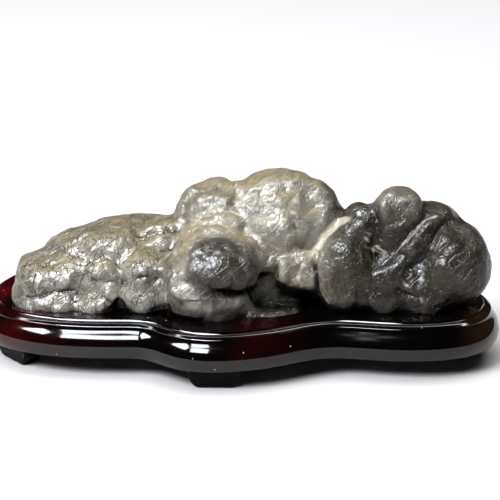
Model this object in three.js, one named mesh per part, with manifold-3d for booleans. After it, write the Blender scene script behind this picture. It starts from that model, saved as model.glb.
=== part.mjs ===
// A scholar's rock resting in a lacquered wooden stand. Millimetres, +Z up, +X to the right and +Y away from
// the viewer. The origin is on the table, under the middle of the stand.
import * as THREE from "three";
import { mergeVertices } from "three/addons/utils/BufferGeometryUtils.js";
import Module from "manifold-3d";

const wasm = await Module();
wasm.setup();

// ---- Driving dimensions ----
const FOOT_HEIGHT = 13;
const PLATE_THICKNESS = 22; // from the plate's underside to the top of its rim bead
const LEDGE_DROP = 1.8; // how far the flat ledge lies below the bead
const SEAT_DEPTH = 5; // how deep the stone's base is let into the ledge
const SEAT_GAP = 1; // clearance between the stone and the wall of its seat
const SEAT_FLOOR_GAP = 0.4; // and between the stone and the seat's floor
const GLUE_GAP = 0.3; // between a foot and the plate

const PLATE_BOTTOM = FOOT_HEIGHT + GLUE_GAP;
const RIM_TOP = PLATE_BOTTOM + PLATE_THICKNESS;
const LEDGE = RIM_TOP - LEDGE_DROP;
const STONE_BASE = LEDGE - SEAT_DEPTH;

const STONE_STEP = 6.8; // grid step of the stone's surface
const BLEND = 4; // how softly one swelling of the stone runs into the next
const FILL = 0.5; // depth given to a corner that is filled
const OUTLINE_STEPS = 96; // sections round the moulding
const SEAT_STEP = 4; // spacing of the points of the seat's outline

// ---- The stone ----
// Each swelling is an ellipsoid: its middle, its half sizes, and its lean in degrees about Y (positive tips
// its top to the right).
const SWELLINGS = {
  // the low left mass
  nose: { at: [-127, 5, 52], half: [21, 26, 15] },
  noseLow: { at: [-131, -2, 38], half: [18, 22, 11] },
  leftFoot: { at: [-117, -8, 37], half: [19, 20, 12] },
  cheekbone: { at: [-111, -2, 55], half: [16, 20, 13] },
  leftShoulder: { at: [-103, 18, 61], half: [24, 32, 18] },
  toe: { at: [-93, -16, 38], half: [13, 15, 12] },
  eye: { at: [-89, -11, 58], half: [14, 15, 10] },
  underEye: { at: [-84, -14, 47], half: [12, 15, 8] },
  ridge: { at: [-80, 24, 62], half: [33, 36, 22] },
  ridgeEnd: { at: [-46, 16, 69], half: [21, 26, 17] },
  ridgeBrow: { at: [-84, 4, 72], half: [20, 18, 11] },
  midBulge: { at: [-61, -10, 61], half: [16, 19, 13] },
  midLow: { at: [-61, -15, 43], half: [16, 18, 13] },
  leftCore: { at: [-83, 14, 46], half: [52, 36, 26] },
  // the boulder in front
  brow: { at: [-14, -24, 67], half: [30, 24, 19] },
  browLeft: { at: [-33, -22, 58], half: [15, 21, 15] },
  jaw: { at: [-20, -24, 44], half: [28, 22, 14] },
  jawSide: { at: [-42, -12, 47], half: [18, 20, 21] },
  chin: { at: [-12, -24, 35], half: [24, 18, 10] },
  // the hill
  hillLeft: { at: [-17, 22, 86], half: [25, 28, 26] },
  hillFace: { at: [-12, 6, 86], half: [21, 15, 19] },
  hillFoot: { at: [-16, -4, 79], half: [24, 14, 11] },
  hillTop: { at: [27, 18, 88], half: [33, 29, 31] },
  hillRight: { at: [45, 14, 86], half: [22, 25, 29] },
  knob: { at: [34, 0, 104], half: [11, 10, 9] },
  hillBelly: { at: [26, -4, 84], half: [20, 16, 14] },
  saddle: { at: [62, 14, 79], half: [14, 22, 16] },
  apron: { at: [-16, -3, 67], half: [36, 20, 12] },
  apronBack: { at: [-6, 10, 66], half: [40, 24, 22] },
  neck: { at: [36, -2, 62], half: [30, 24, 17] },
  wart: { at: [46, -17, 59], half: [9, 10, 11] },
  middleCore: { at: [6, 10, 52], half: [50, 28, 26] },
  archBack: { at: [52, 22, 46], half: [44, 23, 20] },
  flange: { at: [21, -17, 32], half: [27, 21, 6] },
  // the right mass
  cheek: { at: [69, -14, 64], half: [17, 21, 24], lean: -8 },
  cheekLow: { at: [70, -13, 50], half: [20, 21, 16] },
  ear: { at: [79, -4, 88], half: [13, 17, 14] },
  horn: { at: [106, 1, 86], half: [15, 21, 27] },
  hornSide: { at: [97, -2, 83], half: [13, 18, 23] },
  sash: { at: [105, -14, 66], half: [10, 17, 30], lean: 42 },
  sashEnd: { at: [97, -16, 57], half: [14, 17, 13] },
  sashTop: { at: [127, -3, 90], half: [9, 15, 14], lean: 62 },
  backRight: { at: [127, 10, 77], half: [21, 22, 22] },
  rump: { at: [137, -8, 63], half: [26, 27, 28] },
  rumpLow: { at: [121, -14, 43], half: [17, 20, 13] },
  rightLow: { at: [97, -12, 43], half: [17, 21, 13] },
  rightMiddle: { at: [112, -10, 48], half: [22, 19, 14] },
  rightCore: { at: [112, 2, 54], half: [38, 30, 24] },
  // the back and the base
  base: { at: [-6, 19, 37], half: [126, 26, 16] },
  backLeft: { at: [-106, 36, 50], half: [30, 22, 23] },
  backRidge: { at: [-58, 40, 56], half: [30, 18, 26] },
  backHillLeft: { at: [-6, 40, 74], half: [24, 16, 28] },
  backHill: { at: [36, 40, 68], half: [24, 16, 32] },
  backNeck: { at: [74, 30, 54], half: [20, 16, 24] },
  backHorn: { at: [106, 28, 62], half: [20, 16, 26] },
  backRump: { at: [141, 14, 50], half: [20, 18, 22] },
};

function distanceTo({ at, half, lean = 0 }) {
  const back = new THREE.Matrix4()
    .makeRotationY(THREE.MathUtils.degToRad(lean))
    .setPosition(...at)
    .invert();
  const size = new THREE.Vector3(...half);
  const local = new THREE.Vector3();
  const scaled = new THREE.Vector3();
  return (point) => {
    local.copy(point).applyMatrix4(back).divide(size);
    const unit = local.length();
    const slope = scaled.copy(local).divide(size).length();
    return (unit * (unit - 1)) / Math.max(slope, 1e-6);
  };
}

const swellingDistances = Object.values(SWELLINGS).map(distanceTo);

function smoothMin(a, b, width) {
  const h = Math.max(width - Math.abs(a - b), 0) / width;
  return Math.min(a, b) - (h * h * width) / 4;
}

function swellingsField(point) {
  return swellingDistances.map((d) => d(point)).reduce((a, b) => smoothMin(a, b, BLEND));
}

// Signed distance to the stone's skin, negative inside: the swellings, sawn off flat at the base.
function stoneField(point) {
  return -smoothMin(-swellingsField(point), point.z - STONE_BASE, 3);
}

// The corners, edges and faces of a grid cell, by corner number.
const numbers = [0, 1, 2, 3, 4, 5, 6, 7];
const corners = numbers.map((c) => [c & 1, (c >> 1) & 1, c >> 2]);
const neighbours = (a, b) => corners[a].reduce((sum, x, n) => sum + Math.abs(x - corners[b][n]), 0) === 1;
const edges = numbers.flatMap((a) => numbers.filter((b) => a < b && neighbours(a, b)).map((b) => [a, b]));
const faceOf = (axis, side) => numbers.filter((c) => corners[c][axis] === side);
const faces = [0, 1, 2].flatMap((axis) => [faceOf(axis, 0), faceOf(axis, 1)]);

// Whether the picked corners of a cell hang together along its edges.
function connected(picked) {
  const reached = picked.slice(0, 1);
  for (const a of reached)
    reached.push(...picked.filter((b) => !reached.includes(b) && neighbours(a, b)));
  return reached.length === picked.length;
}

// A cell pinches the surface where its inside or outside corners, or those of one face, fall into two groups.
function pinches(inside) {
  return [corners.map((_, c) => c), ...faces].some((group) =>
    [true, false].some((side) => !connected(group.filter((c) => inside[c] === side))),
  );
}

// Surface nets: one vertex in each grid cell that the surface crosses, and one quad across each crossed edge.
function surfaceOf(field, low, high, step) {
  const count = [0, 1, 2].map((i) => Math.ceil((high[i] - low[i]) / step) + 1);
  const index = (i, j, k) => (k * count[1] + j) * count[0] + i;
  const at = (i, j, k) => new THREE.Vector3(low[0] + i * step, low[1] + j * step, low[2] + k * step);
  const value = new Float32Array(count[0] * count[1] * count[2]);
  for (let k = 0; k < count[2]; k++)
    for (let j = 0; j < count[1]; j++)
      for (let i = 0; i < count[0]; i++)
        value[index(i, j, k)] = field(at(i, j, k));

  const cellCorners = (i, j, k) => corners.map(([x, y, z]) => index(i + x, j + y, k + z));
  const eachCell = (visit) => {
    for (let k = 0; k < count[2] - 1; k++)
      for (let j = 0; j < count[1] - 1; j++)
        for (let i = 0; i < count[0] - 1; i++)
          visit(i, j, k);
  };
  // Pinched cells are filled, corner by corner, until none is left.
  let filled = true;
  while (filled) {
    filled = false;
    eachCell((i, j, k) => {
      const places = cellCorners(i, j, k);
      if (!pinches(places.map((n) => value[n] < 0))) return;
      const nearest = places.filter((n) => value[n] >= 0).sort((a, b) => value[a] - value[b])[0];
      value[nearest] = -FILL;
      filled = true;
    });
  }

  const cellVertex = new Map();
  const positions = [];
  eachCell((i, j, k) => {
    const v = cellCorners(i, j, k).map((n) => value[n]);
    const crossings = edges.filter(([a, b]) => v[a] < 0 !== v[b] < 0);
    if (!crossings.length) return;
    const sum = new THREE.Vector3();
    for (const [a, b] of crossings) {
      const [pa, pb] = [corners[a], corners[b]].map(([x, y, z]) => at(i + x, j + y, k + z));
      sum.add(pa.lerp(pb, v[a] / (v[a] - v[b])));
    }
    cellVertex.set(index(i, j, k), positions.length / 3);
    positions.push(...settle(field, sum.divideScalar(crossings.length), step).toArray());
  });

  const triangles = [];
  const quad = (a, b, c, d, flip) => triangles.push(...(flip ? [a, c, b, a, d, c] : [a, b, c, a, c, d]));
  const around = [
    [[0, 0, 0], [0, -1, 0], [0, -1, -1], [0, 0, -1]],
    [[0, 0, 0], [0, 0, -1], [-1, 0, -1], [-1, 0, 0]],
    [[0, 0, 0], [-1, 0, 0], [-1, -1, 0], [0, -1, 0]],
  ];
  for (let k = 1; k < count[2] - 1; k++)
    for (let j = 1; j < count[1] - 1; j++)
      for (let i = 1; i < count[0] - 1; i++)
        around.forEach((cells, axis) => {
          const here = value[index(i, j, k)] < 0;
          const there = value[index(i + (axis === 0), j + (axis === 1), k + (axis === 2))] < 0;
          if (here === there) return;
          const ring = cells.map(([x, y, z]) => cellVertex.get(index(i + x, j + y, k + z)));
          quad(...ring, !here);
        });
  const geometry = new THREE.BufferGeometry();
  geometry.setAttribute("position", new THREE.Float32BufferAttribute(positions, 3));
  geometry.setIndex(triangles);
  return geometry;
}

// Moves a vertex onto the surface, along the field's slope, by at most half a grid step.
function settle(field, start, step) {
  const probe = 0.5;
  const point = start.clone();
  for (let round = 0; round < 3; round++) {
    const here = field(point);
    const slope = new THREE.Vector3(
      field(point.clone().setX(point.x + probe)) - here,
      field(point.clone().setY(point.y + probe)) - here,
      field(point.clone().setZ(point.z + probe)) - here,
    ).divideScalar(probe);
    point.addScaledVector(slope, -here / Math.max(slope.lengthSq(), 0.25));
    point.sub(start).clampLength(0, step / 2).add(start);
  }
  return point;
}

function stoneGeometry() {
  return surfaceOf(stoneField, [-156, -62, 16], [172, 72, 132], STONE_STEP);
}

// ---- The stand ----
// The rim line, seen from above: the top outer edge of the plate's bead, in order round the stand.
const RIM_LINE = [
  [-164.5, 14], [-161, -5], [-154, -20], [-142, -29], [-122, -38], [-101, -42], [-80, -43], [-61, -43],
  [-50, -50], [-40, -60], [-29, -66.5], [-14, -67.6], [7, -64], [22, -58], [43, -46.5], [54, -43],
  [65, -42.5], [86, -46], [106, -49], [127, -47], [144, -42], [156, -32], [163, -14], [164.5, 2],
  [161, 18], [150, 33], [132, 42], [110, 45], [88, 46], [68, 53], [50, 63], [28, 67.6], [6, 66],
  [-18, 61], [-44, 57], [-68, 59], [-92, 64], [-118, 67], [-142, 64], [-156, 52], [-163, 33],
];
// The edge moulding, as distance out from the rim line and height above the plate's underside: a rolled lower
// edge, a swelling that runs into a hollow, a narrow bevel, the bead's top, and its drop to the ledge.
function mouldingPoints() {
  const path = new THREE.Path();
  path.moveTo(3.5, 0);
  path.bezierCurveTo(6.4, 0.2, 8.4, 2.4, 8.4, 5.4);
  path.bezierCurveTo(8.4, 9.6, 5, 11.6, 3.6, 13.8);
  path.bezierCurveTo(2.2, 16, 1.4, 17.6, 1.2, 19.9);
  path.lineTo(-0.8, PLATE_THICKNESS);
  path.lineTo(-2.4, PLATE_THICKNESS);
  path.quadraticCurveTo(-3.6, PLATE_THICKNESS, -4, PLATE_THICKNESS - LEDGE_DROP);
  return path.getPoints(3);
}

// The rim line as a smooth closed curve: a point and an outward direction at each step.
function rimStations(steps) {
  const curve = new THREE.CatmullRomCurve3(RIM_LINE.map(([x, y]) => new THREE.Vector3(x, y, 0)), true);
  curve.arcLengthDivisions = 1200;
  return Array.from({ length: steps }, (_, i) => {
    const along = curve.getTangentAt(i / steps);
    return { point: curve.getPointAt(i / steps), out: new THREE.Vector3(along.y, -along.x, 0) };
  });
}

function plateGeometry() {
  const stations = rimStations(OUTLINE_STEPS);
  const profile = mouldingPoints();
  const positions = [];
  for (const { x: out, y: height } of profile)
    for (const station of stations) {
      const p = station.point.clone().addScaledVector(station.out, out);
      positions.push(p.x, p.y, PLATE_BOTTOM + height);
    }
  const triangles = [];
  const ring = (row, i) => row * OUTLINE_STEPS + (i % OUTLINE_STEPS);
  for (let row = 0; row < profile.length - 1; row++)
    for (let i = 0; i < OUTLINE_STEPS; i++) {
      const [a, b, c, d] = [ring(row, i), ring(row, i + 1), ring(row + 1, i + 1), ring(row + 1, i)];
      triangles.push(a, b, c, a, c, d);
    }
  const cap = (row, flip) => {
    const contour = stations.map((_, i) => {
      const v = ring(row, i) * 3;
      return new THREE.Vector2(positions[v], positions[v + 1]);
    });
    for (const [a, b, c] of THREE.ShapeUtils.triangulateShape(contour, []))
      triangles.push(ring(row, a), ring(row, flip ? c : b), ring(row, flip ? b : c));
  };
  cap(0, true);
  cap(profile.length - 1, false);
  const geometry = new THREE.BufferGeometry();
  geometry.setAttribute("position", new THREE.Float32BufferAttribute(positions, 3));
  geometry.setIndex(triangles);
  return geometry;
}

// The seat is a recess in the ledge, to the outline of the stone's base, which is walked in short steps.
function footprintField(x, y) {
  const levels = [0, 0.33, 0.67, 1].map((t) => THREE.MathUtils.lerp(STONE_BASE, LEDGE, t));
  return Math.min(...levels.map((z) => swellingsField(new THREE.Vector3(x, y, z)))) - SEAT_GAP;
}

function seatOutline() {
  const probe = 0.5;
  const slopeAt = ({ x, y }) => {
    const here = footprintField(x, y);
    return new THREE.Vector2(footprintField(x + probe, y) - here, footprintField(x, y + probe) - here);
  };
  const onto = (p) => {
    for (let round = 0; round < 4; round++) {
      const slope = slopeAt(p).divideScalar(probe);
      p.addScaledVector(slope, -footprintField(p.x, p.y) / Math.max(slope.lengthSq(), 0.25));
    }
    return p;
  };
  const points = [onto(new THREE.Vector2(SWELLINGS.rump.at[0] + SWELLINGS.rump.half[0], 0))];
  while (points.length < 4 || points.at(-1).distanceTo(points[0]) > SEAT_STEP) {
    const slope = slopeAt(points.at(-1)).normalize();
    const onward = new THREE.Vector2(-slope.y, slope.x).multiplyScalar(SEAT_STEP);
    points.push(onto(points.at(-1).clone().add(onward)));
    if (points.length > 1000) throw new Error("the seat's outline does not close");
  }
  return points;
}

function seatGeometry() {
  const bottom = STONE_BASE - SEAT_FLOOR_GAP;
  const options = { depth: RIM_TOP - bottom, bevelEnabled: false };
  return new THREE.ExtrudeGeometry(new THREE.Shape(seatOutline()), options).translate(0, 0, bottom);
}

// A foot: a half-round block with a flat tread, standing on z = 0 with its front face towards -Y.
const FOOT = { topHalf: 17, treadHalf: 9, depth: 13, bevel: 1 };

function footGeometry() {
  const { topHalf, treadHalf, depth, bevel } = FOOT;
  const [top, side] = [FOOT_HEIGHT - bevel, topHalf - bevel];
  const shape = new THREE.Shape();
  shape.moveTo(-treadHalf, bevel);
  shape.lineTo(treadHalf, bevel);
  shape.bezierCurveTo(treadHalf + 4, bevel, side, top - 6, side, top);
  shape.lineTo(-side, top);
  shape.bezierCurveTo(-side, top - 6, -treadHalf - 4, bevel, -treadHalf, bevel);
  const geometry = new THREE.ExtrudeGeometry(shape, {
    depth: depth - 2 * bevel,
    bevelEnabled: true,
    bevelThickness: bevel,
    bevelSize: bevel,
    bevelSegments: 1,
    curveSegments: 6,
  });
  geometry.translate(0, 0, -(depth / 2 - bevel));
  return geometry.rotateX(Math.PI / 2);
}

// ---- Solids ----
function solidFrom(geometry) {
  const bare = new THREE.BufferGeometry().setAttribute("position", geometry.getAttribute("position"));
  bare.setIndex(geometry.index);
  const merged = mergeVertices(bare, 1e-4);
  const mesh = new wasm.Mesh({
    numProp: 3,
    vertProperties: merged.attributes.position.array,
    triVerts: new Uint32Array(merged.index.array),
  });
  return new wasm.Manifold(mesh);
}

function geometryFrom(solid) {
  const mesh = solid.getMesh();
  const geometry = new THREE.BufferGeometry();
  geometry.setAttribute("position", new THREE.BufferAttribute(mesh.vertProperties, 3));
  geometry.setIndex(new THREE.BufferAttribute(mesh.triVerts, 1));
  geometry.computeVertexNormals();
  return geometry;
}

// ---- Materials ----
const stoneMaterial = new THREE.MeshStandardMaterial({ color: 0x6b6658, roughness: 0.42, metalness: 0 });
const lacquer = new THREE.MeshStandardMaterial({ color: 0x22080a, roughness: 0.08, metalness: 0 });

// ---- Assembly ----
const assembly = new THREE.Group();

function addPiece(name, geometry, material) {
  const mesh = new THREE.Mesh(geometry, material);
  mesh.name = name;
  assembly.add(mesh);
  return mesh;
}

addPiece("rock", stoneGeometry(), stoneMaterial);

const seatedPlate = solidFrom(plateGeometry()).subtract(solidFrom(seatGeometry()));
addPiece("stand_plate", geometryFrom(seatedPlate), lacquer);

// Where each foot stands, and which way it faces: its turn about Z from facing -Y.
const FEET = {
  foot_front_left: { at: [-144, -16], turn: -50 },
  foot_front_centre: { at: [-15, -61], turn: 0 },
  foot_right_end: { at: [153, 0], turn: 88 },
  foot_back_right: { at: [62, 46], turn: 150 },
  foot_back_left: { at: [-116, 57], turn: 182 },
};
for (const [name, { at, turn }] of Object.entries(FEET)) {
  const foot = addPiece(name, footGeometry(), lacquer);
  foot.position.set(...at, 0);
  foot.rotation.z = THREE.MathUtils.degToRad(turn);
}

export default assembly;
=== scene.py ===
from itertools import product
from math import atan2, cos, radians, sin

import bmesh
import bpy
import numpy as np
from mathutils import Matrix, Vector, noise
from mathutils.bvhtree import BVHTree


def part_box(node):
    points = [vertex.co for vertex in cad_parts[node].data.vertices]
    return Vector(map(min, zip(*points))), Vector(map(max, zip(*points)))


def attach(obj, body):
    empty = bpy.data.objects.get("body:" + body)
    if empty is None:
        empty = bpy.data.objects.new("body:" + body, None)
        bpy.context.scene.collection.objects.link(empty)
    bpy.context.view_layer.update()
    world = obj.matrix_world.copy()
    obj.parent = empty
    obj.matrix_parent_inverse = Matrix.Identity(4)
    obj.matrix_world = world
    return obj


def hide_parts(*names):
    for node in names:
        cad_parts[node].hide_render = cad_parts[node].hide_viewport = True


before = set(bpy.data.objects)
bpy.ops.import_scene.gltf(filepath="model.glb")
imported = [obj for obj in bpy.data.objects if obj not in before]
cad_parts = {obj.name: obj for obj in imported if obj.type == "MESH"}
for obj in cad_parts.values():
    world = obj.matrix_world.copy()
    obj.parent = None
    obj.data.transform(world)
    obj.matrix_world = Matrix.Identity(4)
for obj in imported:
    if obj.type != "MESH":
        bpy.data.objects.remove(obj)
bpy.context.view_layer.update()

# ---- Camera ----
# A long lens, looking a little down on the front of the stone. It sees a strip as wide as the stone and most
# of its stand.
MM = 0.001
LOOK_AT = Vector((7.4, -8, 72.3)) * MM
LOOK_DOWN = radians(18)
CAMERA_AWAY = 1.1
SEEN_WIDTH = 325 * MM

back = Vector((0, -cos(LOOK_DOWN), sin(LOOK_DOWN)))
camera_data = bpy.data.cameras.new("camera")
camera_data.lens = camera_data.sensor_width * CAMERA_AWAY / SEEN_WIDTH
camera = bpy.data.objects.new("camera", camera_data)
camera.location = LOOK_AT + back * CAMERA_AWAY
camera.rotation_euler = (-back).to_track_quat("-Z", "Y").to_euler()
bpy.context.scene.collection.objects.link(camera)
bpy.context.scene.camera = camera


# ---- Table and light ----
# A plain pale table under a soft ceiling light, with windows to the left of the viewer, as a dealer's stone
# is shown. The table, like every finish below, is written with sockets that take arithmetic.
class Socket:
    """A node's socket, with arithmetic, so that a pattern reads as an expression."""

    def __init__(self, paint, link):
        self.paint, self.link = paint, link

    def _math(self, operation, *inputs):
        return self.paint.node("ShaderNodeMath", {"operation": operation}, dict(enumerate(inputs)))

    def __add__(self, other):
        return self._math("ADD", self, other)

    def __radd__(self, other):
        return self._math("ADD", other, self)

    def __sub__(self, other):
        return self._math("SUBTRACT", self, other)

    def __rsub__(self, other):
        return self._math("SUBTRACT", other, self)

    def __mul__(self, other):
        return self._math("MULTIPLY", self, other)

    def __rmul__(self, other):
        return self._math("MULTIPLY", other, self)


class Paint:
    """A material, its node tree, and the few node shapes used here."""

    def __init__(self, name):
        self.material = bpy.data.materials.new(name)
        self.material.use_nodes = True
        self.tree = self.material.node_tree
        self.tree.nodes.clear()
        self.output = self.tree.nodes.new("ShaderNodeOutputMaterial")

    def put(self, socket, value):
        if isinstance(value, Socket):
            self.tree.links.new(value.link, socket)
        else:
            socket.default_value = value

    def node(self, kind, settings=None, inputs=None, output=0):
        made = self.tree.nodes.new(kind)
        for name, value in (settings or {}).items():
            setattr(made, name, value)
        for name, value in (inputs or {}).items():
            self.put(made.inputs[name], value)
        return Socket(self, made.outputs[output])

    def shader(self, **values):
        sockets = {name.replace("_", " "): value for name, value in values.items()}
        return self.node("ShaderNodeBsdfPrincipled", {}, sockets)

    def surface(self, shader):
        self.put(self.output.inputs[0], shader)

    def mix(self, factor, a, b):
        sockets = {0: factor, 6: a, 7: b}
        return self.node("ShaderNodeMix", {"data_type": "RGBA"}, sockets, output=2)

    def spread(self, value, low, high):
        """From 0 at the low value to 1 at the high one, eased at both ends."""
        sockets = {0: value, 1: low, 2: high}
        return self.node("ShaderNodeMapRange", {"interpolation_type": "SMOOTHSTEP"}, sockets)

    def place(self, scale=(1, 1, 1), turn=(0, 0, 0)):
        """Object coordinates along axes turned by the given angles, then scaled along those axes."""
        object_place = self.node("ShaderNodeTexCoord", output=3)
        sockets = {"Vector": object_place, "Rotation": turn, "Scale": [1 / part for part in scale]}
        return self.node("ShaderNodeMapping", {"vector_type": "TEXTURE"}, sockets)

    def noise(self, place, scale, detail, roughness, distortion=0.0):
        sockets = {"Vector": place, "Scale": scale, "Detail": detail, "Roughness": roughness,
                   "Distortion": distortion}
        return self.node("ShaderNodeTexNoise", {}, sockets)

    def cells(self, place, scale, feature="F1", output=0):
        sockets = {"Vector": place, "Scale": scale}
        return self.node("ShaderNodeTexVoronoi", {"feature": feature}, sockets, output)

    def vector(self, operation, *inputs, output=0):
        return self.node("ShaderNodeVectorMath", {"operation": operation}, dict(enumerate(inputs)), output)

    def attribute(self, name):
        return self.node("ShaderNodeAttribute", {"attribute_name": name}, output=2)

    def bump(self, height, depth):
        return self.node("ShaderNodeBump", {}, {"Height": height, "Distance": depth, "Strength": 1.0})


TABLE_WIDTH = 9
bpy.ops.mesh.primitive_plane_add(size=TABLE_WIDTH)
floor = bpy.context.object
floor.name = "floor"
floor_paint = Paint("pale_table")
floor_paint.surface(floor_paint.shader(Base_Color=(0.66, 0.66, 0.665, 1), Roughness=0.8))
floor.data.materials.append(floor_paint.material)


def soft_light(name, at, aim, size, watts, colour=(1, 1, 1), matte=True, gloss=True):
    """An even rectangle of light, which matte surfaces or glossy ones may be told to leave out."""
    data = bpy.data.lights.new(name, "AREA")
    data.shape, data.size, data.size_y = "RECTANGLE", *size
    data.energy, data.color = watts, colour
    light = bpy.data.objects.new(name, data)
    light.location = at
    light.rotation_euler = (Vector(aim) - Vector(at)).to_track_quat("-Z", "Y").to_euler()
    light.visible_diffuse = matte
    light.visible_glossy = gloss
    bpy.context.scene.collection.objects.link(light)


soft_light("ceiling", (0, 1.2, 2.2), (0, 1.2, 0), (3.8, 3.0), 100, gloss=False)
soft_light("ceiling_glow", (0, 0.35, 2.2), (0, 0.35, 0), (3.8, 0.8), 30, matte=False)
soft_light("ceiling_tube", (0, 0.42, 2.1), (0, 0.42, 0), (3.8, 0.16), 34, matte=False)
soft_light("left_key", (-1.05, -0.95, 1.45), (0, 0, 0.06), (0.95, 0.8), 52, (0.97, 0.98, 1), gloss=False)
soft_light("window", (-0.275, -0.565, 0.55), (-0.1, 0, 0.06), (0.34, 0.185), 6.5, (0.9, 0.95, 1), matte=False)
soft_light("window_above", (-0.36, -0.62, 1.5), (0, 0, 0.06), (0.9, 0.5), 112, (0.87, 0.93, 1), matte=False)
soft_light("far_window", (-1.2, -0.55, 1.5), (0, 0, 0.06), (0.8, 0.8), 88, (0.85, 0.92, 1), matte=False)

world = bpy.data.worlds.new("room")
bpy.context.scene.world = world
world.use_nodes = True
room = world.node_tree.nodes["Background"]
room.inputs["Color"].default_value = (0.8, 0.85, 1, 1)
room.inputs["Strength"].default_value = 0.01
bpy.context.scene.view_settings.view_transform = "Standard"

# ---- The rock: its body ----
# A dense grey-olive stone worn into rounded masses. Its body is the frame's rock, rounded off and given one
# fine even skin, into which the creases, dents and wrinkles are then worked.
ROCK_SKIN_STEP = 1.12 * MM
ROCK_FILL_OUT = 0.6
WELD = 0.01 * MM


def apply_modifiers(piece):
    depsgraph = bpy.context.evaluated_depsgraph_get()
    mesh = bpy.data.meshes.new_from_object(piece.evaluated_get(depsgraph))
    piece.modifiers.clear()
    piece.data = mesh


def read_points(mesh):
    points = np.empty(len(mesh.vertices) * 3)
    mesh.vertices.foreach_get("co", points)
    return points.reshape(-1, 3)


def read_normals(mesh):
    normals = np.empty(len(mesh.vertices) * 3)
    mesh.vertex_normals.foreach_get("vector", normals)
    return normals.reshape(-1, 3)


def write_points(mesh, points):
    mesh.vertices.foreach_set("co", points.ravel())
    mesh.update()


rock_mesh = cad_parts["rock"].data.copy()
rock = bpy.data.objects.new("rock_stone", rock_mesh)
bpy.context.scene.collection.objects.link(rock)
rock_shape = bmesh.new()
rock_shape.from_mesh(rock_mesh)
bmesh.ops.remove_doubles(rock_shape, verts=rock_shape.verts, dist=WELD)
rock_shape.to_mesh(rock_mesh)
rock_shape.free()
rounding = rock.modifiers.new("rounding", "SUBSURF")
rounding.levels = rounding.render_levels = 2
skin = rock.modifiers.new("skin", "REMESH")
skin.mode, skin.voxel_size = "VOXEL", ROCK_SKIN_STEP
softening = rock.modifiers.new("softening", "SMOOTH")
softening.factor, softening.iterations = 0.5, 6
apply_modifiers(rock)

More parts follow.
